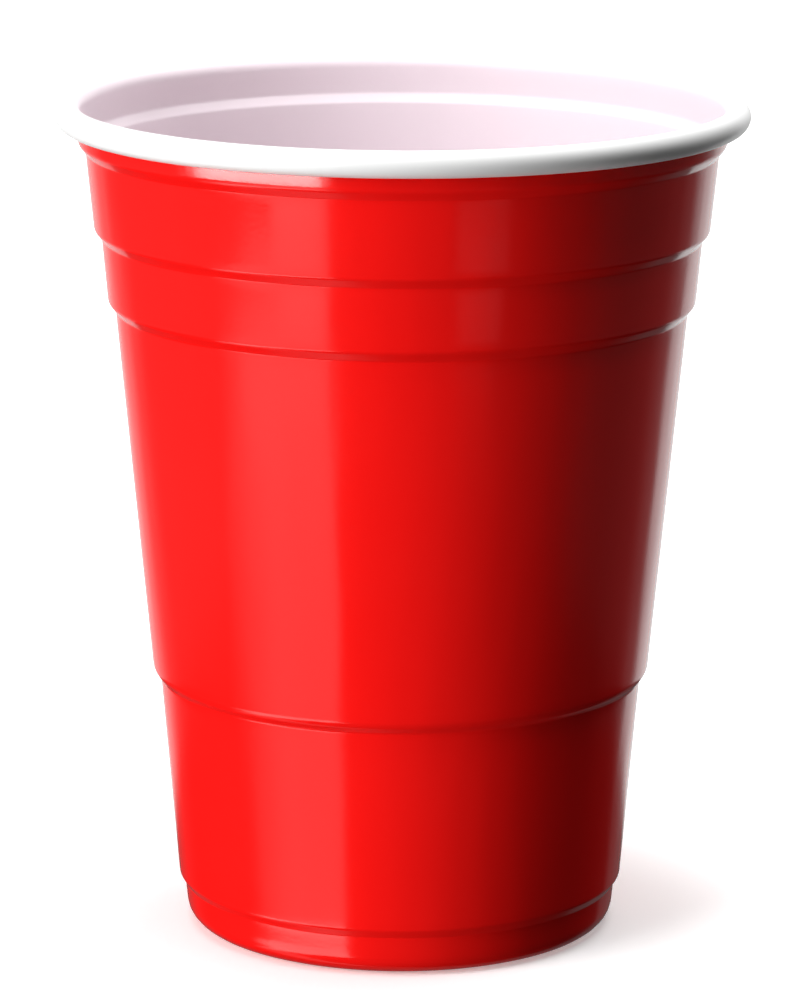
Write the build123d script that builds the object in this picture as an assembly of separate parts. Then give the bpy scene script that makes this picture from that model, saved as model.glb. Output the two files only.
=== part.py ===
from build123d import *
import os
from math import ceil, cos, radians, tan

# Stackable party cup, thermoformed from one sheet of plastic.
# Millimetres, Z up, origin at the centre of the foot. The whole cup is one sheet of
# even thickness, so its section is drawn as one line, the outside face of the sheet,
# from the middle of the floor out to the foot, up the side and round the rolled lip.
# The inside face follows it one sheet thickness away, and the section is turned about Z.

# Overall
cup_height = 118.0
sheet = 0.45

# Foot: a narrow ring to stand on, round the raised floor. Its diameter is that of its
# wall carried down to the table, and the heel rounds the wall into its underside.
foot_diameter = 60.3
foot_width = 4.1
foot_ring_height = 5.3
foot_ring_draft = 6.4
heel_radius = 3.1
floor_lift = 2.6
floor_ramp_run = 1.3

# Ledge above the foot ring
foot_ledge_depth = 0.87
foot_ledge_rise = 2.0

# Lower section, and the ledge that ends it
lower_height = 28.6
lower_draft = 5.0
grip_ledge_depth = 1.03
grip_ledge_rise = 1.1

# Body: its height is what the other sections leave
body_draft = 5.5

# Two bands round the top of the body, each on a ledge
band_ledge_depth = 1.05
band_ledge_rise = 1.3
band_2_height = 8.9
band_2_draft = 5.2
band_1_height = 10.4
band_1_draft = 5.75

# Neck, and the lip rolled outwards and down from it
neck_ledge_depth = 1.1
neck_ledge_rise = 1.7
neck_height = 3.9
lip_radius = 1.85
lip_wrap = 300.0

# Arcs are turned as straight runs, each bending this much at most, to keep the cup light
run_bend = 30.0
hidden_run_bend = 60.0


def widening(height, draft):
    """How much a wall of this height gains in radius at this draft angle."""
    return height * tan(radians(draft))


def arc_runs(centre, radius, start, sweep, bend):
    """Corners along an arc that is drawn as straight runs."""
    runs = ceil(abs(sweep) / bend)
    angles = [start + sweep * run / runs for run in range(runs + 1)]
    return [centre + Vector(radius, 0).rotate(Axis.Z, angle) for angle in angles]


def one_sheet_inside(line):
    """The same line moved to its left by the thickness of the sheet, with mitred corners."""
    directions = [(end - start).normalized() for start, end in zip(line, line[1:])]
    normals = [Vector(-direction.Y, direction.X) for direction in directions]
    mitres = [(a + b) / (1 + a.dot(b)) for a, b in zip(normals, normals[1:])]
    moves = [normals[0], *mitres, normals[-1]]
    return [corner + move * sheet for corner, move in zip(line, moves)]


# Floor and foot
foot_radius = foot_diameter / 2
standing_radius = foot_radius - foot_width
floor = [
    Vector(0, floor_lift),
    Vector(standing_radius - floor_ramp_run, floor_lift),
    Vector(standing_radius, 0),
]
heel_reach = heel_radius / cos(radians(foot_ring_draft)) - widening(heel_radius, foot_ring_draft)
heel_centre = Vector(foot_radius - heel_reach, heel_radius)
heel = arc_runs(heel_centre, heel_radius, -90, 90 - foot_ring_draft, run_bend)
ring_top = Vector(foot_radius + widening(foot_ring_height, foot_ring_draft), foot_ring_height)

# Side up to the body, measured from the foot
lower_foot = ring_top + Vector(foot_ledge_depth, foot_ledge_rise)
lower_top = lower_foot + Vector(widening(lower_height, lower_draft), lower_height)
body_foot = lower_top + Vector(grip_ledge_depth, grip_ledge_rise)

# Heights of the neck and the bands, measured down from the rim
lip_centre_height = cup_height - lip_radius
neck_foot_height = lip_centre_height - neck_height
band_1_top_height = neck_foot_height - neck_ledge_rise
band_2_top_height = band_1_top_height - band_1_height - band_ledge_rise
body_top_height = band_2_top_height - band_2_height - band_ledge_rise
body_height = body_top_height - body_foot.Y

# Side from the body up
body_top = body_foot + Vector(widening(body_height, body_draft), body_height)
band_ledge = Vector(band_ledge_depth, band_ledge_rise)
band_2_foot = body_top + band_ledge
band_2_top = band_2_foot + Vector(widening(band_2_height, band_2_draft), band_2_height)
band_1_foot = band_2_top + band_ledge
band_1_top = band_1_foot + Vector(widening(band_1_height, band_1_draft), band_1_height)
neck_foot = band_1_top + Vector(neck_ledge_depth, neck_ledge_rise)
neck_top = neck_foot + Vector(0, neck_height)
side = [
    ring_top,
    lower_foot,
    lower_top,
    body_foot,
    body_top,
    band_2_foot,
    band_2_top,
    band_1_foot,
    band_1_top,
    neck_foot,
    neck_top,
]

# The two faces of the sheet, each ending in its side of the roll
outside = floor + heel + side
inside = one_sheet_inside(outside)
roll_inner_radius = lip_radius - sheet
lip_centre = neck_top + Vector(roll_inner_radius, 0)
roll_inner = arc_runs(lip_centre, roll_inner_radius, 180, -lip_wrap, hidden_run_bend)
roll_outer = arc_runs(lip_centre, lip_radius, 180, -lip_wrap, run_bend)
section = outside + roll_inner[1:] + roll_outer[:0:-1] + inside[::-1]

with BuildPart() as cup:
    with BuildSketch(Plane.XZ):
        with BuildLine():
            Polyline(*section, close=True)
        make_face()
    revolve(axis=Axis.Z)

os.makedirs("parts", exist_ok=True)
export_step(cup.part, "parts/cup.step")
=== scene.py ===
"""A red plastic party cup with a white inside, standing in a plain white studio.

The cup is one thermoformed sheet, red on its outside face and white on its inside face.
Its shell is turned by Geometry Nodes from one section line, the outside face of the sheet
from the middle of the floor out to the foot, up the side and round the rolled lip.
"""

import logging
from dataclasses import dataclass, field
from enum import Enum
from math import atan, cos, degrees, pi, radians, sin, sqrt, tan, tau
from typing import Any

import bpy
from mathutils import Matrix, Vector


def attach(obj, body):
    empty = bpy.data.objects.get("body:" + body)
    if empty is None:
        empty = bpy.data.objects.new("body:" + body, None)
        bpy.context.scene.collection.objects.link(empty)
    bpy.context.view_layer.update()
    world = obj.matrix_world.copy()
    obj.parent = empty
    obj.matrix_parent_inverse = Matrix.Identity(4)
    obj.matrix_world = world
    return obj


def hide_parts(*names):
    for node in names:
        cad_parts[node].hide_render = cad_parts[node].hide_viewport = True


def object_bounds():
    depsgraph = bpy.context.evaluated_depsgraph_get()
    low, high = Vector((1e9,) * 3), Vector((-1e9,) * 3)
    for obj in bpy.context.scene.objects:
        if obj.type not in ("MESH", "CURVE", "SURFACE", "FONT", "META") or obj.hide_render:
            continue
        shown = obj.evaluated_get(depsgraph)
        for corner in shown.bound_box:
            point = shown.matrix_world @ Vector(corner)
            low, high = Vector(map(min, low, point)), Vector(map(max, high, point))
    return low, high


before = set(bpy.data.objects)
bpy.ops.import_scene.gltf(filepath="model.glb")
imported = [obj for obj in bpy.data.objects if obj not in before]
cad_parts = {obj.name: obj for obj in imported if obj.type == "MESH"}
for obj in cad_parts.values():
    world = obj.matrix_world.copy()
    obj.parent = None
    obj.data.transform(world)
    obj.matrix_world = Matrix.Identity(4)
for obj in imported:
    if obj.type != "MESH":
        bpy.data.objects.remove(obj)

MM = 0.001
BOX_CLEARANCE = 0.005 * MM
PHOTO_HEIGHT = 1000
SENSOR = 36.0
ROUNDING = "rounding"

log = logging.getLogger("party cup")

Colour = tuple[float, float, float, float]
Span = tuple[float, float]
Stops = tuple[Span, ...]
Socket = bpy.types.NodeSocket


class Ray(Enum):
    """The kinds of ray that an object may be hidden from."""

    CAMERA = "visible_camera"
    DIFFUSE = "visible_diffuse"
    GLOSSY = "visible_glossy"
    TRANSMISSION = "visible_transmission"
    SHADOW = "visible_shadow"


class Face(Enum):
    """The two faces of the sheet, by the name of their finish."""

    OUTSIDE = "red_skin"
    INSIDE = "white_skin"


class NodeSheet:
    """A node tree with short words for adding nodes and wiring them."""

    def __init__(self, tree: bpy.types.NodeTree) -> None:
        """Takes the tree to lay nodes in.

        Args:
            tree: the node tree.
        """
        self.tree = tree

    @classmethod
    def emptied(cls, block: bpy.types.Material | bpy.types.World) -> "NodeSheet":
        """Takes the tree of a material or a world and clears it.

        Args:
            block: the material or the world.

        Returns:
            The empty sheet.
        """
        block.use_nodes = True
        block.node_tree.nodes.clear()
        return cls(block.node_tree)

    def add(self, kind: str, inputs: dict[Any, Any] | None = None,
            **settings: Any) -> bpy.types.Node:
        """Adds one node, sets its choices and feeds its inputs.

        Args:
            kind: the node's type name.
            inputs: by socket name or number, either a value or the output socket to link from.
            settings: the node's own choices, such as its operation.

        Returns:
            The new node.
        """
        node = self.tree.nodes.new(kind)
        for name, value in settings.items():
            setattr(node, name, value)
        for socket, value in (inputs or {}).items():
            if isinstance(value, Socket):
                self.tree.links.new(value, node.inputs[socket])
            else:
                node.inputs[socket].default_value = value
        return node

    def place(self) -> Socket:
        """Gives the place on the object, in the object's own coordinates."""
        return self.add("ShaderNodeTexCoord").outputs["Object"]

    def parts(self, vector: Socket) -> Any:
        """Splits a vector, and gives the outputs X, Y and Z."""
        return self.add("ShaderNodeSeparateXYZ", {0: vector}).outputs

    def math(self, operation: str, *values: Any) -> Socket:
        """Adds one Math node.

        Args:
            operation: what the node works out.
            values: its numbers, or the sockets that give them.

        Returns:
            The socket with the answer.
        """
        inputs = dict(enumerate(values))
        return self.add("ShaderNodeMath", inputs, operation=operation).outputs[0]

    def mixed(self, share: Socket, base: Any, other: Any) -> Socket:
        """Mixes two numbers.

        Args:
            share: the socket with the other number's share.
            base: the first number, or its socket.
            other: the other number, or its socket.

        Returns:
            The socket with the mixed number.
        """
        inputs = {"Factor": share, 2: base, 3: other}
        return self.add("ShaderNodeMix", inputs, data_type="FLOAT").outputs[0]

    def mixed_colour(self, share: Socket, base: Any, other: Any) -> Socket:
        """Mixes two colours.

        Args:
            share: the socket with the other colour's share.
            base: the first colour, or its socket.
            other: the other colour, or its socket.

        Returns:
            The socket with the mixed colour.
        """
        inputs = {"Factor": share, 6: base, 7: other}
        return self.add("ShaderNodeMix", inputs, data_type="RGBA").outputs[2]

    def smooth_step(self, value: Socket, start: Any, end: Any, low: float = 0.0,
                    high: float = 1.0) -> Socket:
        """Turns a value into low before start and high past end, with a smooth change between.

        Args:
            value: the socket with the value.
            start: where the change begins, a number or the socket that gives it.
            end: where the change ends, given the same way.
            low: what it gives before start.
            high: what it gives past end.

        Returns:
            The socket with the result.
        """
        change = {"Value": value, "From Min": start, "From Max": end, "To Min": low, "To Max": high}
        step = self.add("ShaderNodeMapRange", change, interpolation_type="SMOOTHSTEP")
        return step.outputs["Result"]

    def between(self, value: Socket, rise: Span, fall: Span) -> Socket:
        """Gives 1 between a smooth rise and a smooth fall, and 0 outside them.

        Args:
            value: the socket with the value.
            rise: where it rises from 0 to 1.
            fall: where it falls back to 0.

        Returns:
            The socket with the result.
        """
        risen = self.smooth_step(value, *rise)
        return self.math("MULTIPLY", risen, self.smooth_step(value, *reversed(fall)))

    def looked_up(self, value: Socket, stops: Stops, full: float) -> Socket:
        """Looks a value up in a list of stops.

        Args:
            value: the socket with the value.
            stops: the stops in order, each a value and what it gives.
            full: the furthest from zero that any stop may give.

        Returns:
            The socket with what the value gives.
        """
        low, high = stops[0][0], stops[-1][0]
        span = {"Value": value, "From Min": low, "From Max": high}
        curve = self.add("ShaderNodeFloatCurve", {
            "Value": self.add("ShaderNodeMapRange", span).outputs["Result"],
        })
        line = curve.mapping.curves[0]
        while len(line.points) < len(stops):
            line.points.new(0.5, 0.5)
        for point, (at, given) in zip(line.points, stops):
            point.location = ((at - low) / (high - low), given / full)
            point.handle_type = "VECTOR"
        curve.mapping.update()
        return self.math("MULTIPLY", curve.outputs["Value"], full)


def placed(name: str, data: bpy.types.ID) -> bpy.types.Object:
    """Puts a new object in the scene.

    Args:
        name: what the object is called.
        data: its mesh, lamp or camera.

    Returns:
        The object.
    """
    thing = bpy.data.objects.new(name, data)
    bpy.context.scene.collection.objects.link(thing)
    return thing


def hide_from(thing: bpy.types.Object, *rays: Ray) -> None:
    """Hides an object from some kinds of ray.

    Args:
        thing: the object.
        rays: the kinds of ray that no longer see it.
    """
    for ray in rays:
        setattr(thing, ray.value, False)


def around(azimuth: float, elevation: float, distance: float) -> Vector:
    """Gives a place round the cup.

    Args:
        azimuth: the angle from the front, in degrees, positive towards the right.
        elevation: the angle above the table, in degrees.
        distance: the distance from the origin, in metres.

    Returns:
        The place.
    """
    turn, lift = radians(azimuth), radians(elevation)
    return Vector((sin(turn) * cos(lift), -cos(turn) * cos(lift), sin(lift))) * distance


@dataclass(frozen=True)
class PlasticSkin:
    """The moulded gloss plastic that both faces of the sheet share.

    Attributes:
        colour: the plastic's own colour.
        cloud_colour: the colour of its faint clouds, where the sheet was drawn thinner.
        cloud_share: how much of the cloud colour shows at most.
        cloud_size: the size of a cloud in metres.
        roughness: the lowest roughness, and the highest.
        ripple: how deep the draw marks are, as bump strength.
        ripple_width: the width of a draw mark in metres.
        grain: how deep the fine grain is, as bump strength.
        grain_size: the size of the grain in metres.
        ripple_stretch: how many times taller than wide a draw mark is.
        cloud_spread: the values of the cloud pattern between which the roughness rises.
    """

    colour: Colour
    cloud_colour: Colour
    cloud_share: float
    cloud_size: float
    roughness: Span
    ripple: float
    ripple_width: float
    grain: float
    grain_size: float
    ripple_stretch: float = 6.0
    cloud_spread: Span = (0.2, 0.8)

    def material(self, face: Face) -> bpy.types.Material:
        """Makes the material.

        Args:
            face: the face of the sheet, which names the material.

        Returns:
            The material.
        """
        made = bpy.data.materials.new(face.value)
        sheet = NodeSheet.emptied(made)
        place = sheet.place()
        clouds = self.noise(sheet, place, self.cloud_size, detail=3.0)
        skin = sheet.add("ShaderNodeBsdfPrincipled", {
            "Base Color": self.tinted(sheet, clouds, place),
            "Roughness": self.roughened(sheet, clouds, place),
            "Normal": self.bump(sheet, place),
        })
        sheet.add("ShaderNodeOutputMaterial", {"Surface": skin.outputs["BSDF"]})
        return made

    def noise(self, sheet: NodeSheet, place: Socket, size: float, detail: float,
              stretch: float = 1.0) -> Socket:
        """Adds a noise of a given size, which may be stretched up the cup.

        Args:
            sheet: the node sheet to work on.
            place: the socket with the place on the object.
            size: the size of the pattern in metres.
            detail: how many finer layers the noise has.
            stretch: how many times taller than wide the pattern is.

        Returns:
            The socket with the noise, from 0 to 1.
        """
        scale = (1 / size, 1 / size, 1 / (size * stretch))
        mapped = sheet.add("ShaderNodeMapping", {"Vector": place, "Scale": scale})
        pattern = {"Vector": mapped.outputs["Vector"], "Scale": 1.0, "Detail": detail}
        return sheet.add("ShaderNodeTexNoise", pattern).outputs["Fac"]

    def bump(self, sheet: NodeSheet, place: Socket) -> Socket:
        """Adds the draw marks that run up the sheet, and a fine grain over them.

        Args:
            sheet: the node sheet to work on.
            place: the socket with the place on the object.

        Returns:
            The socket with the bumped normal.
        """
        draw_marks = self.noise(sheet, place, self.ripple_width, 1.0, self.ripple_stretch)
        marked = sheet.add("ShaderNodeBump", {
            "Height": draw_marks, "Strength": self.ripple, "Distance": self.ripple_width,
        })
        grain = self.noise(sheet, place, self.grain_size, detail=2.0)
        return sheet.add("ShaderNodeBump", {
            "Height": grain, "Strength": self.grain, "Distance": self.grain_size,
            "Normal": marked.outputs["Normal"],
        }).outputs["Normal"]

    def tinted(self, sheet: NodeSheet, clouds: Socket, place: Socket) -> Socket:
        """Gives the colour, with its faint clouds.

        Args:
            sheet: the node sheet to work on.
            clouds: the socket with the cloud pattern.
            place: the socket with the place on the object, for a face whose colour needs it.

        Returns:
            The socket with the colour.
        """
        share = sheet.math("MULTIPLY", clouds, self.cloud_share)
        return sheet.mixed_colour(share, self.colour, self.cloud_colour)

    def roughened(self, sheet: NodeSheet, clouds: Socket, place: Socket) -> Socket:
        """Gives the roughness, which follows the clouds.

        Args:
            sheet: the node sheet to work on.
            clouds: the socket with the cloud pattern.
            place: the socket with the place on the object, for a face whose wear needs it.

        Returns:
            The socket with the roughness.
        """
        return sheet.smooth_step(clouds, *self.cloud_spread, *self.roughness)


@dataclass(frozen=True)
class RedSkin(PlasticSkin):
    """The red face, which is scuffed where the cup stands.

    Attributes:
        scuff_height: how far up from the table the scuffs reach, in metres.
        scuff_roughness: the roughness of a scuff.
        scuff_size: the size of a scuff in metres.
        scuff_spread: the values of the scuff pattern between which a scuff begins.
    """

    scuff_height: float = 0.6 * MM
    scuff_roughness: float = 0.5
    scuff_size: float = 0.9 * MM
    scuff_spread: Span = (0.45, 0.6)

    def roughened(self, sheet: NodeSheet, clouds: Socket, place: Socket) -> Socket:
        """Gives the roughness, with scuffs on the ring that the cup stands on.

        Args:
            sheet: the node sheet to work on.
            clouds: the socket with the cloud pattern.
            place: the socket with the place on the object.

        Returns:
            The socket with the roughness.
        """
        plain = super().roughened(sheet, clouds, place)
        near_table = sheet.smooth_step(sheet.parts(place)["Z"], self.scuff_height, 0.0)
        scuffs = self.noise(sheet, place, self.scuff_size, detail=2.0)
        marks = sheet.smooth_step(scuffs, *self.scuff_spread)
        worn = sheet.math("MULTIPLY", near_table, marks)
        return sheet.mixed(worn, plain, self.scuff_roughness)


@dataclass(frozen=True)
class WhiteSkin(PlasticSkin):
    """The white face. Inside the wall it is painted pink: partly the red showing through the thin
    white, partly painted light let through the red wall.

    Attributes:
        painted_pink: the colour inside the wall, partly the red showing through the thin white and
            partly painted light let through the red wall.
        painted_pink_radius: the radius at which the painted pink has gone, in metres.
        painted_pink_fade: how wide its edge is, in metres.
    """

    painted_pink: Colour = (0.92, 0.81, 0.86, 1.0)
    painted_pink_radius: float = 45.8 * MM
    painted_pink_fade: float = 0.8 * MM

    def tinted(self, sheet: NodeSheet, clouds: Socket, place: Socket) -> Socket:
        """Gives the colour, plain white on the lip and faintly pink inside the wall, the pink
        partly painted light let through the red wall.

        Args:
            sheet: the node sheet to work on.
            clouds: the socket with the cloud pattern.
            place: the socket with the place on the object.

        Returns:
            The socket with the colour.
        """
        white = super().tinted(sheet, clouds, place)
        flat = {0: place, 1: (1.0, 1.0, 0.0)}
        level = sheet.add("ShaderNodeVectorMath", flat, operation="MULTIPLY").outputs["Vector"]
        radius = sheet.add("ShaderNodeVectorMath", {0: level}, operation="LENGTH").outputs["Value"]
        # painted light: the pink inside the wall partly stands for light let through the red sheet
        full_painted_pink_radius = self.painted_pink_radius - self.painted_pink_fade
        pink_share = sheet.smooth_step(radius, self.painted_pink_radius, full_painted_pink_radius)
        return sheet.mixed_colour(pink_share, white, self.painted_pink)


@dataclass(frozen=True)
class Corner:
    """One corner of the section line.

    Attributes:
        radius: its distance from the axis, in metres.
        height: its height above the table, in metres.
        rounding: the radius that rounds it off, in metres.
    """

    radius: float
    height: float
    rounding: float = 0.0

    def up(self, out: float, rise: float, rounding: float = 0.0) -> "Corner":
        """Gives another corner of the line, by how far it lies from this one.

        Args:
            out: how far it lies outwards, in metres.
            rise: how far it lies above, in metres.
            rounding: the radius that rounds it off, in metres.

        Returns:
            The other corner.
        """
        return Corner(self.radius + out, self.height + rise, rounding)


@dataclass(frozen=True)
class Tier:
    """One tier of the side: a ledge, and the wall that stands on it. Lengths are in metres.

    Attributes:
        ledge_depth: how far the ledge steps outwards.
        ledge_rise: how far the ledge rises.
        root_rounding: the radius that rounds the ledge's root.
        shoulder_rounding: the radius that rounds its shoulder.
        height: the wall's height, or None where the wall takes what the other tiers leave.
        draft: how far the wall leans outwards, in degrees.
    """

    ledge_depth: float
    ledge_rise: float
    root_rounding: float
    shoulder_rounding: float
    height: float | None
    draft: float


LOWER = Tier(0.79 * MM, 1.2 * MM, 0.4 * MM, 1.2 * MM, height=28.95 * MM, draft=5.0)
BODY = Tier(1.03 * MM, 1.1 * MM, 0.9 * MM, 2.2 * MM, height=None, draft=5.5)
BAND_2 = Tier(1.05 * MM, 1.3 * MM, 0.6 * MM, 1.2 * MM, height=8.9 * MM, draft=5.2)
BAND_1 = Tier(1.05 * MM, 1.3 * MM, 0.6 * MM, 1.1 * MM, height=10.8 * MM, draft=5.75)
NECK = Tier(1.06 * MM, 1.3 * MM, 0.45 * MM, 1.2 * MM, height=3.9 * MM, draft=0.0)


@dataclass
class CupSection:
    """The section of the cup: the outside face of the sheet. Lengths are in metres.

    Attributes:
        rim_reach: the radius of the whole cup at the rim.
        cup_height: the height of the whole cup.
        sheet: the thickness of the sheet.
        foot_radius: the radius of the foot ring's wall where it would meet the table.
        foot_width: how far inside that wall the ring stops standing on the table.
        foot_ring_height: the height of the foot ring.
        foot_ring_draft: how far its wall leans outwards, in degrees.
        heel_radius: the radius that rounds the ring's wall into its underside.
        floor_lift: how far the middle of the floor is raised.
        floor_ramp_run: how far the ramp between the ring and the floor runs inwards.
        floor_rounding: the radius that rounds the ramp's two ends.
        tiers: the tiers of the side, from the lowest up.
        lip_wrap: how far round the lip is rolled, in degrees.
        lip_radius: the outer radius of the rolled lip, which sets how high its centre lies.
        lip_steps: how many runs the roll has.
    """

    rim_reach: float
    cup_height: float
    sheet: float = 0.45 * MM
    foot_radius: float = 30.15 * MM
    foot_width: float = 4.1 * MM
    foot_ring_height: float = 5.75 * MM
    foot_ring_draft: float = 6.4
    heel_radius: float = 3.1 * MM
    floor_lift: float = 2.6 * MM
    floor_ramp_run: float = 1.3 * MM
    floor_rounding: float = 0.7 * MM
    tiers: tuple[Tier, ...] = (LOWER, BODY, BAND_2, BAND_1, NECK)
    lip_wrap: float = 300.0
    lip_radius: float = 1.85 * MM
    lip_steps: int = 30

    def floor_and_foot(self) -> list[Corner]:
        """Gives the corners from the middle of the floor to the top of the foot ring.

        Returns:
            The corners, from the axis outwards.
        """
        standing_radius = self.foot_radius - self.foot_width
        heel = Corner(self.foot_radius, 0.0, self.heel_radius)
        lean = self.foot_ring_height * tan(radians(self.foot_ring_draft))
        return [
            Corner(0.0, self.floor_lift),
            Corner(standing_radius - self.floor_ramp_run, self.floor_lift, self.floor_rounding),
            Corner(standing_radius, 0.0, self.floor_rounding),
            heel,
            heel.up(lean, self.foot_ring_height, self.tiers[0].root_rounding),
        ]

    def side(self, ring_top: Corner) -> list[Corner]:
        """Gives the corners from the first ledge to the top of the neck.

        Args:
            ring_top: the top of the foot ring.

        Returns:
            The corners, from the lowest up.
        """
        stacked = sum(tier.ledge_rise + (tier.height or 0.0) for tier in self.tiers)
        left_over = self.cup_height - self.lip_radius - ring_top.height - stacked
        next_roundings = [tier.root_rounding for tier in self.tiers[1:]] + [0.0]
        corners = [ring_top]
        for tier, rounding in zip(self.tiers, next_roundings):
            shoulder = corners[-1].up(tier.ledge_depth, tier.ledge_rise, tier.shoulder_rounding)
            height = left_over if tier.height is None else tier.height
            lean = height * tan(radians(tier.draft))
            corners += [shoulder, shoulder.up(lean, height, rounding)]
        return corners[1:]

    def roll(self, neck_top: Corner) -> list[Corner]:
        """Gives the red face of the lip, rolled outwards and down from the neck.

        Args:
            neck_top: the top of the neck, where the roll begins.

        Returns:
            The points along the roll.
        """
        reach = self.rim_reach - neck_top.radius
        bend = (reach + self.sheet) / 2 - self.sheet
        step = self.lip_wrap / self.lip_steps
        turns = [radians(180 - step * count) for count in range(1, self.lip_steps + 1)]
        return [neck_top.up(bend + bend * cos(turn), bend * sin(turn)) for turn in turns]

    def line(self) -> list[Corner]:
        """Gives the whole section line.

        Returns:
            Its corners, from the middle of the floor to the end of the roll.
        """
        start = self.floor_and_foot()
        side = self.side(start[-1])
        return start + side + self.roll(side[-1])


@dataclass
class TurningTree:
    """The node tree that turns a section line into a shell of sheet.

    Attributes:
        rounding_steps: how many runs each rounded corner has.
        spacing: the longest run along the section, in metres.
        steps_round: how many facets the shell has round its axis.
        weld: the distance below which points are merged, in metres.
        name: the tree's name.
        sockets: the identifier of each of the tree's inputs, by its name.
    """

    rounding_steps: int = 6
    spacing: float = 1.2 * MM
    steps_round: int = 160
    weld: float = 1e-6
    name: str = "turn the cup"
    sockets: dict[str, str] = field(default_factory=dict)

    def build(self) -> bpy.types.NodeTree:
        """Builds the tree.

        Returns:
            The tree. The identifiers of its inputs are kept in sockets.
        """
        tree = bpy.data.node_groups.new(self.name, "GeometryNodeTree")
        self.declare(tree)
        sheet = NodeSheet(tree)
        given = sheet.add("NodeGroupInput").outputs
        profile = self.rounded_profile(sheet, given)
        red = self.turned(sheet, given, profile)
        shell, white_faces = self.thickened(sheet, given, red)
        dressed = self.dressed(sheet, given, shell, white_faces)
        sheet.add("NodeGroupOutput", {"Shell": dressed})
        return tree

    def declare(self, tree: bpy.types.NodeTree) -> None:
        """Args:
            tree: the tree.
        """
        kinds = {
            "Section Line": "NodeSocketGeometry", "Sheet": "NodeSocketFloat",
            "Rounding Steps": "NodeSocketInt", "Spacing": "NodeSocketFloat",
            "Steps Round": "NodeSocketInt", "Outside": "NodeSocketMaterial",
            "Inside": "NodeSocketMaterial",
        }
        for name, kind in kinds.items():
            socket = tree.interface.new_socket(name, in_out="INPUT", socket_type=kind)
            self.sockets[name] = socket.identifier
        tree.interface.new_socket("Shell", in_out="OUTPUT", socket_type="NodeSocketGeometry")

    def rounded_profile(self, sheet: NodeSheet, given: Any) -> Socket:
        """Rounds the section's corners and divides its long runs.

        Args:
            sheet: the node sheet to work on.
            given: the outputs of the group's input.

        Returns:
            The socket with the profile curve.
        """
        line = sheet.add("GeometryNodeMeshToCurve", {"Mesh": given["Section Line"]})
        rounding = sheet.add("GeometryNodeInputNamedAttribute", {"Name": ROUNDING},
                             data_type="FLOAT")
        rounded = sheet.add("GeometryNodeFilletCurve", {
            "Curve": line.outputs["Curve"], "Count": given["Rounding Steps"],
            "Radius": rounding.outputs["Attribute"], "Limit Radius": True,
        }, mode="POLY")
        here = sheet.add("GeometryNodeInputPosition").outputs["Position"]
        following = sheet.add("GeometryNodeOffsetPointInCurve", {"Offset": 1})
        there = sheet.add("GeometryNodeFieldAtIndex", {
            "Index": following.outputs["Point Index"], "Value": here,
        }, data_type="FLOAT_VECTOR")
        ends = {0: here, 1: there.outputs["Value"]}
        run = sheet.add("ShaderNodeVectorMath", ends, operation="DISTANCE").outputs["Value"]
        cuts = sheet.math("FLOOR", sheet.math("DIVIDE", run, given["Spacing"]))
        divided = {"Curve": rounded.outputs["Curve"], "Cuts": cuts}
        return sheet.add("GeometryNodeSubdivideCurve", divided).outputs["Curve"]

    def turned(self, sheet: NodeSheet, given: Any, profile: Socket) -> Socket:
        """Turns the profile about the axis and closes its seam and its middle.

        Args:
            sheet: the node sheet to work on.
            given: the outputs of the group's input.
            profile: the profile curve.

        Returns:
            The socket with the turned face.
        """
        size = sheet.add("GeometryNodeAttributeDomainSize", {0: profile}, component="CURVE")
        count = size.outputs["Point Count"]
        columns = sheet.math("ADD", given["Steps Round"], 1.0)
        grid = sheet.add("GeometryNodeMeshGrid", {"Vertices X": columns, "Vertices Y": count})
        index = sheet.add("GeometryNodeInputIndex").outputs["Index"]
        row, column = (sheet.add("FunctionNodeIntegerMath", {0: index, 1: count},
                                 operation=operation).outputs[0]
                       for operation in ("MODULO", "DIVIDE_FLOOR"))
        point = sheet.add("GeometryNodeSampleIndex", {
            "Geometry": profile, "Index": row,
            "Value": sheet.add("GeometryNodeInputPosition").outputs["Position"],
        }, data_type="FLOAT_VECTOR").outputs["Value"]
        parts = sheet.parts(point)
        angle = sheet.math("DIVIDE", sheet.math("MULTIPLY", column, tau), given["Steps Round"])
        swung = sheet.add("ShaderNodeCombineXYZ", {
            "X": sheet.math("MULTIPLY", parts["X"], sheet.math("COSINE", angle)),
            "Y": sheet.math("MULTIPLY", parts["X"], sheet.math("SINE", angle)),
            "Z": parts["Z"],
        })
        face = sheet.add("GeometryNodeSetPosition", {
            "Geometry": grid.outputs["Mesh"], "Position": swung.outputs["Vector"],
        })
        return self.welded(sheet, face.outputs["Geometry"])

    def welded(self, sheet: NodeSheet, geometry: Socket) -> Socket:
        """Merges the points that lie on each other.

        Args:
            sheet: the node sheet to work on.
            geometry: the socket with the geometry.

        Returns:
            The socket with the merged geometry.
        """
        merging = {"Geometry": geometry, "Distance": self.weld}
        return sheet.add("GeometryNodeMergeByDistance", merging).outputs["Geometry"]

    def thickened(self, sheet: NodeSheet, given: Any, red: Socket) -> tuple[Socket, Socket]:
        """Gives the turned face its thickness of sheet, towards the inside of the cup.

        Args:
            sheet: the node sheet to work on.
            given: the outputs of the group's input.
            red: the turned outside face.

        Returns:
            The socket with the closed shell, and the one that picks its white faces.
        """
        inwards = sheet.math("MULTIPLY", given["Sheet"], -1.0)
        grown = sheet.add("GeometryNodeExtrudeMesh", {
            "Mesh": red, "Offset Scale": inwards, "Individual": False,
        }).outputs
        either = {0: grown["Top"], 1: grown["Side"]}
        white = sheet.add("FunctionNodeBooleanMath", either, operation="OR").outputs[0]
        lining = sheet.add("GeometryNodeFlipFaces", {"Mesh": grown["Mesh"]}).outputs["Mesh"]
        joined = sheet.add("GeometryNodeJoinGeometry")
        for layer in (lining, red):
            sheet.tree.links.new(layer, joined.inputs[0])
        return self.welded(sheet, joined.outputs[0]), white

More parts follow.
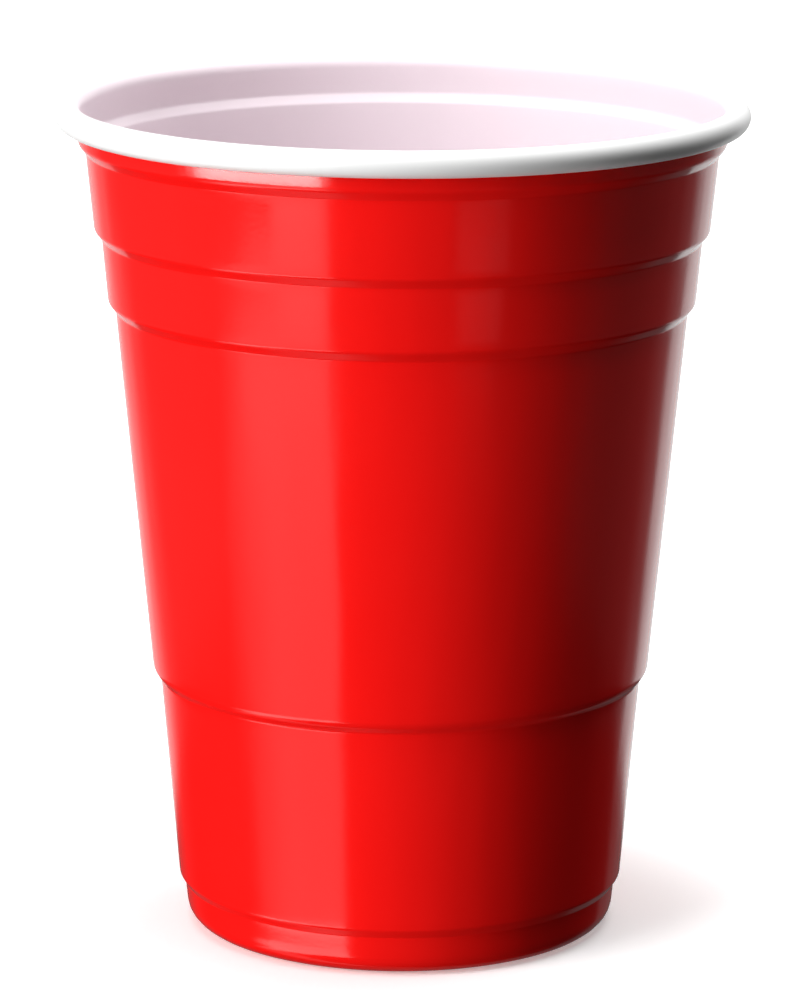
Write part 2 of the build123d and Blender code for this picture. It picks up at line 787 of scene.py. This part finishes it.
    def dressed(self, sheet: NodeSheet, given: Any, shell: Socket,
                white_faces: Socket) -> Socket:
        """Smooths the shell and sets the finish of both faces.

        Args:
            sheet: the node sheet to work on.
            given: the outputs of the group's input.
            shell: the closed shell.
            white_faces: the socket that picks the white faces.

        Returns:
            The socket with the finished shell.
        """
        smooth = sheet.add("GeometryNodeSetShadeSmooth", {0: shell}).outputs[0]
        real = sheet.add("GeometryNodeRealizeInstances", {0: smooth}).outputs[0]
        red = sheet.add("GeometryNodeSetMaterial", {
            "Geometry": real, "Material": given["Outside"],
        }).outputs[0]
        return sheet.add("GeometryNodeSetMaterial", {
            "Geometry": red, "Selection": white_faces, "Material": given["Inside"],
        }).outputs[0]


@dataclass
class CupShell:
    """The cup itself, one shell of sheet.

    Attributes:
        section: the section that is turned.
        outside: the finish of the red face.
        inside: the finish of the white face.
        turning: the node tree that turns the section.
        name: the name of the piece.
    """

    section: CupSection
    outside: PlasticSkin
    inside: PlasticSkin
    turning: TurningTree = field(default_factory=TurningTree)
    name: str = "cup_shell"

    def section_object(self) -> bpy.types.Object:
        """Draws the section line as a run of edges that carries its roundings.

        Returns:
            The object with the line.
        """
        corners = self.section.line()
        mesh = bpy.data.meshes.new("section line")
        edges = [(start, start + 1) for start in range(len(corners) - 1)]
        mesh.from_pydata([(corner.radius, 0.0, corner.height) for corner in corners], edges, [])
        rounding = mesh.attributes.new(ROUNDING, "FLOAT", "POINT")
        rounding.data.foreach_set("value", [corner.rounding for corner in corners])
        return placed("section line", mesh)

    def build(self) -> bpy.types.Object:
        """Turns the section and leaves a plain mesh.

        The turned mesh begins with an empty material slot, which is taken off.

        Returns:
            The shell.
        """
        line = self.section_object()
        turn = line.modifiers.new("turn", "NODES")
        turn.node_group = self.turning.build()
        values = {
            "Sheet": self.section.sheet, "Rounding Steps": self.turning.rounding_steps,
            "Spacing": self.turning.spacing, "Steps Round": self.turning.steps_round,
            "Outside": self.outside.material(Face.OUTSIDE),
            "Inside": self.inside.material(Face.INSIDE),
        }
        for name, value in values.items():
            turn[self.turning.sockets[name]] = value
        evaluated = line.evaluated_get(bpy.context.evaluated_depsgraph_get())
        mesh = bpy.data.meshes.new_from_object(evaluated)
        mesh.materials.pop(index=0)
        mesh.name = self.name
        line.modifiers.remove(turn)
        bpy.data.objects.remove(line)
        return placed(self.name, mesh)

    def place(self, shell: bpy.types.Object) -> None:
        """Puts the shell in the frame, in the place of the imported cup.

        Args:
            shell: the shell.
        """
        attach(shell, "root")
        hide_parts("cup")


@dataclass
class SoftLamp:
    """A large soft lamp that faces the cup.

    Attributes:
        name: what the lamp is called.
        azimuth: its direction round the cup, in degrees from the front.
        elevation: its height above the table, in degrees.
        size: its width and height in metres.
        light: how bright a white card at the cup that faces the lamp is, where 1 is white.
        distance: its distance in metres.
        aim: the height above the table that it faces, in metres.
    """

    name: str
    azimuth: float
    elevation: float
    size: Span
    light: float
    distance: float = 1.2
    aim: float = 60.0 * MM

    def share_of_view(self) -> float:
        """Gives how much of the light on a card that faces the lamp comes from its direction.

        Returns:
            The share, if every direction were as bright.
        """
        across, up = (length / 2 / self.distance for length in self.size)
        wide, tall = sqrt(1 + across ** 2), sqrt(1 + up ** 2)
        return (across / wide * atan(up / wide) + up / tall * atan(across / tall)) * 2 / pi

    def build(self) -> bpy.types.Object:
        """Makes the lamp, out of sight of the camera and of reflections.

        Only rays aimed at the lamp find it, so that the gloss keeps no glimmer of it either.

        Returns:
            The lamp.
        """
        data = bpy.data.lights.new(self.name, "AREA")
        data.cycles.use_multiple_importance_sampling = False
        data.shape = "RECTANGLE"
        data.size, data.size_y = self.size
        data.energy = self.light * pi * self.size[0] * self.size[1] / self.share_of_view()
        lamp = placed(self.name, data)
        away = around(self.azimuth, self.elevation, self.distance)
        lamp.location = away + Vector((0.0, 0.0, self.aim))
        lamp.rotation_mode = "QUATERNION"
        lamp.rotation_quaternion = (-away).to_track_quat("-Z", "Y")
        hide_from(lamp, Ray.CAMERA, Ray.GLOSSY)
        return lamp


@dataclass
class ReflectionDrum:
    """What the gloss sees round the cup: a pale backdrop behind it, a dim room, and a soft box.

    It shows in reflections only, so it gives the cup no light of its own. It is open at the top.
    Azimuths are in degrees from the front, positive towards the right. Heights are in metres.

    Attributes:
        radius: its radius in metres.
        bottom: the height of its bottom, which lies below the table.
        top: the height of its open top.
        steps: how many facets it has.
        room: the brightness of the room by azimuth.
        full_room: the brightness that the room's curve can reach.
        table_fade: the heights between which the room gives way to the darker table.
        table_share: how bright the table is against the room.
        box_start: the azimuth at which the box begins at its left, by height.
        box_full: the azimuth from which it is fully lit, by height.
        box_fall: the azimuth at which it begins to end at its right, by height.
        box_end: the azimuth at which it ends, by height.
        full_azimuth: the azimuth that those four curves can reach.
        box_glow: the box's brightness by height.
        full_glow: the brightness that the box's curve can reach.
        window: the azimuths of a faint second box, to the right of the first.
        window_edge: half the width of its upright edges.
        window_foot: the heights between which it begins.
        window_head: the heights between which it ends.
        window_glow: how bright it is.
        name: what it is called.
    """

    radius: float = 0.5
    bottom: float = -1.5
    top: float = 0.6
    steps: int = 96
    room: Stops = (
        (-180.0, 1.1), (-162.0, 0.82), (-152.0, 0.62), (-142.0, 0.4), (-132.0, 0.18),
        (-126.0, 0.11), (-118.0, 0.11), (-90.0, 0.16), (-78.0, 0.14), (-24.0, 0.04),
        (-12.0, 0.005), (40.0, 0.01), (68.0, 0.035), (80.0, 0.065), (112.0, 0.07),
        (122.0, 0.09), (131.0, 0.17), (135.5, 0.35), (140.0, 1.05), (180.0, 1.1),
    )
    full_room: float = 1.2
    table_fade: Span = (-0.146, -0.131)
    table_share: float = 0.11
    box_start: Stops = (
        (-0.5, -115.0), (-0.4, -92.0), (-0.27, -92.0), (-0.25, -86.0), (-0.115, -84.0),
        (-0.091, -79.0), (-0.076, -75.0), (-0.071, -67.0), (-0.064, -60.0), (-0.058, -48.0),
        (-0.01, -48.0), (0.01, -80.0), (0.05, -80.0),
    )
    box_full: Stops = (
        (-0.5, -82.0), (-0.4, -74.0), (-0.27, -74.0), (-0.25, -54.0), (-0.115, -54.0),
        (-0.091, -60.0), (-0.076, -62.0), (-0.071, -57.0), (-0.064, -51.0), (-0.058, -41.0),
        (-0.01, -41.0), (0.01, -67.0), (0.05, -67.0),
    )
    box_fall: Stops = (
        (-0.5, -75.0), (-0.42, -31.0), (-0.26, -31.0), (-0.24, -29.5), (0.05, -29.5),
    )
    box_end: Stops = (
        (-0.5, -70.0), (-0.42, -28.0), (-0.26, -28.0), (-0.24, -25.5), (0.05, -25.5),
    )
    full_azimuth: float = -120.0
    box_glow: Stops = (
        (-0.5, 0.45), (-0.45, 2.6), (-0.262, 2.7), (-0.248, 0.8), (-0.21, 0.87), (-0.14, 0.96),
        (-0.1, 1.18), (-0.065, 1.4), (0.0, 2.5), (0.02, 13.5), (0.12, 13.5), (0.16, 1.0),
    )
    full_glow: float = 15.0
    window: Span = (20.5, 38.0)
    window_edge: float = 1.0
    window_foot: Span = (-0.086, -0.079)
    window_head: Span = (-0.069, -0.061)
    window_glow: float = 0.36
    name: str = "studio surround"

    def room_light(self, sheet: NodeSheet, azimuth: Socket, height: Socket) -> Socket:
        """Gives the brightness of the room, which falls off at the table.

        Args:
            sheet: the node sheet to work on.
            azimuth: the socket with the azimuth.
            height: the socket with the height.

        Returns:
            The socket with the brightness.
        """
        bright = sheet.looked_up(azimuth, self.room, self.full_room)
        above_table = sheet.smooth_step(height, *self.table_fade, low=self.table_share)
        return sheet.math("MULTIPLY", bright, above_table)

    def box_share(self, sheet: NodeSheet, azimuth: Socket, height: Socket) -> Socket:
        """Gives how much of what is seen is the soft box.

        Args:
            sheet: the node sheet to work on.
            azimuth: the socket with the azimuth.
            height: the socket with the height.

        Returns:
            The socket with the share.
        """
        edges = (self.box_start, self.box_full, self.box_fall, self.box_end)
        start, full, fall, end = (sheet.looked_up(height, edge, self.full_azimuth)
                                  for edge in edges)
        from_left = sheet.smooth_step(azimuth, start, full)
        return sheet.math("MULTIPLY", from_left, sheet.smooth_step(azimuth, end, fall))

    def window_light(self, sheet: NodeSheet, azimuth: Socket, height: Socket) -> Socket:
        """Gives the brightness that the second box adds.

        Args:
            sheet: the node sheet to work on.
            azimuth: the socket with the azimuth.
            height: the socket with the height.

        Returns:
            The socket with the brightness.
        """
        left, right = ((side - self.window_edge, side + self.window_edge) for side in self.window)
        upright = sheet.between(height, self.window_foot, self.window_head)
        window = sheet.math("MULTIPLY", upright, sheet.between(azimuth, left, right))
        return sheet.math("MULTIPLY", window, self.window_glow)

    def material(self) -> bpy.types.Material:
        """Makes the drum's glow.

        Returns:
            The material.
        """
        made = bpy.data.materials.new(self.name)
        sheet = NodeSheet.emptied(made)
        parts = sheet.parts(sheet.place())
        front = sheet.math("MULTIPLY", parts["Y"], -1.0)
        azimuth = sheet.math("MULTIPLY", sheet.math("ARCTAN2", parts["X"], front), degrees(1))
        seen = (sheet, azimuth, parts["Z"])
        box_light = sheet.looked_up(parts["Z"], self.box_glow, self.full_glow)
        lit = sheet.mixed(self.box_share(*seen), self.room_light(*seen), box_light)
        strength = sheet.math("ADD", lit, self.window_light(*seen))
        light = sheet.add("ShaderNodeEmission", {"Strength": strength}).outputs["Emission"]
        sheet.add("ShaderNodeOutputMaterial", {"Surface": light})
        return made

    def build(self) -> bpy.types.Object:
        """Makes the drum, a wall with a bottom.

        Returns:
            The drum.
        """
        ring = [around(360.0 * step / self.steps, 0.0, self.radius) for step in range(self.steps)]
        low = [(point.x, point.y, self.bottom) for point in ring]
        high = [(point.x, point.y, self.top) for point in ring]
        following = [(step + 1) % self.steps for step in range(self.steps)]
        walls = [(step, after, after + self.steps, step + self.steps)
                 for step, after in enumerate(following)]
        mesh = bpy.data.meshes.new(self.name)
        mesh.from_pydata(low + high, [], [*walls, tuple(range(self.steps))])
        mesh.materials.append(self.material())
        drum = placed(self.name, mesh)
        hide_from(drum, Ray.CAMERA, Ray.DIFFUSE, Ray.TRANSMISSION, Ray.SHADOW)
        return drum


@dataclass
class StudioFloor:
    """The white table top, which keeps the cup's shadow near the cup's foot.

    Attributes:
        half_width: half its width in metres.
        colour: its own colour.
        glow: the white that the camera sees on top of it, at the foot of the cup and far from it.
            It is painted light: weak at the foot, where the cup's shadow shows, and strong farther
            out, where it washes the shadow away.
        glow_reach: the distances from the cup's axis between which that white grows, in metres.
        name: what it is called.
    """

    half_width: float = 8.0
    colour: Colour = (0.9, 0.9, 0.9, 1.0)
    glow: Span = (0.3, 0.95)
    glow_reach: Span = (36.0 * MM, 85.0 * MM)
    name: str = "white table"

    def material(self) -> bpy.types.Material:
        """Makes the white that the camera sees from above. From below, the table is clear.

        Returns:
            The material.
        """
        made = bpy.data.materials.new(self.name)
        sheet = NodeSheet.emptied(made)
        seen = sheet.add("ShaderNodeLightPath").outputs["Is Camera Ray"]
        matt = sheet.add("ShaderNodeBsdfDiffuse", {"Color": self.colour}).outputs["BSDF"]
        out = sheet.add("ShaderNodeVectorMath", {0: sheet.place()}, operation="LENGTH")
        # painted light: a camera-only glow that grows away from the cup and washes its shadow out
        white = sheet.smooth_step(out.outputs["Value"], *self.glow_reach, *self.glow)
        glow = sheet.add("ShaderNodeEmission", {"Strength": sheet.math("MULTIPLY", seen, white)})
        both = sheet.add("ShaderNodeAddShader", {0: matt, 1: glow.outputs["Emission"]})
        below = sheet.add("ShaderNodeNewGeometry").outputs["Backfacing"]
        clear = sheet.add("ShaderNodeBsdfTransparent").outputs["BSDF"]
        one_sided = sheet.add("ShaderNodeMixShader", {
            0: below, 1: both.outputs["Shader"], 2: clear,
        })
        sheet.add("ShaderNodeOutputMaterial", {"Surface": one_sided.outputs["Shader"]})
        return made

    def build(self) -> bpy.types.Object:
        """Makes the floor.

        Returns:
            The floor.
        """
        half = self.half_width
        corners = [(-half, -half, 0.0), (half, -half, 0.0), (half, half, 0.0), (-half, half, 0.0)]
        mesh = bpy.data.meshes.new(self.name)
        mesh.from_pydata(corners, [], [(0, 1, 2, 3)])
        mesh.materials.append(self.material())
        floor = placed(self.name, mesh)
        hide_from(floor, Ray.DIFFUSE, Ray.GLOSSY, Ray.SHADOW)
        return floor


@dataclass
class WhiteRoom:
    """The world: white to the camera and to gloss, and a dim even light for the cup.

    Attributes:
        ambient: the even light, where 1 is white.
        background: the white that is seen.
    """

    ambient: float = 0.01
    background: float = 1.0

    def build(self) -> bpy.types.World:
        """Makes the world.

        Returns:
            The world.
        """
        world = bpy.data.worlds.new("white room")
        sheet = NodeSheet.emptied(world)
        path = sheet.add("ShaderNodeLightPath").outputs
        seen = sheet.math("MAXIMUM", path["Is Camera Ray"], path["Is Glossy Ray"])
        seen = sheet.math("MAXIMUM", seen, path["Is Transmission Ray"])
        strength = sheet.mixed(seen, self.ambient, self.background)
        light = sheet.add("ShaderNodeBackground", {
            "Color": (1.0, 1.0, 1.0, 1.0), "Strength": strength,
        })
        sheet.add("ShaderNodeOutputWorld", {"Surface": light.outputs["Background"]})
        bpy.context.scene.world = world
        return world


@dataclass
class StudioCamera:
    """The camera at the photograph's angle.

    Attributes:
        distance: how far it stands in front of the cup's axis, in metres.
        height: its height above the table, in metres.
        pitch: how far it looks down, in degrees.
        yaw: how far it looks to the left, in degrees.
        roll: how far it leans to the left, in degrees.
        focal_pixels: its focal length in pixels of the photograph.
    """

    distance: float = 708.45 * MM
    height: float = 221.37 * MM
    pitch: float = 12.77
    yaw: float = 0.013
    roll: float = 0.233
    focal_pixels: float = 5132.9

    def build(self) -> bpy.types.Object:
        """Makes the camera and looks through it.

        Returns:
            The camera.
        """
        data = bpy.data.cameras.new("camera")
        data.sensor_width = SENSOR
        data.lens = self.focal_pixels * SENSOR / PHOTO_HEIGHT
        camera = placed("camera", data)
        turns = ((self.yaw, "Z"), (90 - self.pitch, "X"), (self.roll, "Z"))
        yaw, pitch, roll = (Matrix.Rotation(radians(angle), 4, axis) for angle, axis in turns)
        stand = Matrix.Translation((0.0, -self.distance, self.height))
        camera.matrix_world = stand @ yaw @ pitch @ roll
        bpy.context.scene.camera = camera
        return camera


RED = RedSkin(
    colour=(0.95, 0.007, 0.006, 1.0), cloud_colour=(0.96, 0.01, 0.008, 1.0), cloud_share=0.5,
    cloud_size=18.0 * MM, roughness=(0.12, 0.16), ripple=0.02, ripple_width=7.0 * MM,
    grain=0.02, grain_size=0.5 * MM,
)
WHITE = WhiteSkin(
    colour=(0.9, 0.9, 0.895, 1.0), cloud_colour=(0.885, 0.89, 0.885, 1.0), cloud_share=0.5,
    cloud_size=20.0 * MM, roughness=(0.27, 0.32), ripple=0.006, ripple_width=9.0 * MM,
    grain=0.02, grain_size=0.4 * MM,
)
LAMPS = (
    SoftLamp("key", azimuth=-53.0, elevation=10.0, size=(0.75, 1.9), light=1.28),
    SoftLamp("table bounce", azimuth=-50.0, elevation=-38.0, size=(0.8, 0.8), light=0.16),
    SoftLamp("fill", azimuth=125.0, elevation=20.0, size=(1.1, 0.9), light=0.33),
    SoftLamp("overhead", azimuth=0.0, elevation=90.0, size=(0.9, 0.9), light=1.0),
)


def build_studio() -> None:
    """Builds the floor, the drum, the world, the lamps and the camera."""
    bpy.context.scene.view_settings.view_transform = "Standard"
    StudioFloor().build()
    ReflectionDrum().build()
    WhiteRoom().build()
    for lamp in LAMPS:
        log.info("lamp: %s", lamp.build().name)
    StudioCamera().build()


def main() -> None:
    """Builds the cup in the frame's box, then the studio."""
    logging.basicConfig(level=logging.INFO, format="%(name)s: %(message)s")
    frame_low, frame_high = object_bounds()
    rim_reach = min(frame_high.x, frame_high.y, -frame_low.x, -frame_low.y) - BOX_CLEARANCE
    cup = CupShell(CupSection(rim_reach, frame_high.z), RED, WHITE)
    shell = cup.build()
    cup.place(shell)
    log.info("%s: %d faces", shell.name, len(shell.data.polygons))
    build_studio()


if __name__ == "__main__":
    main()
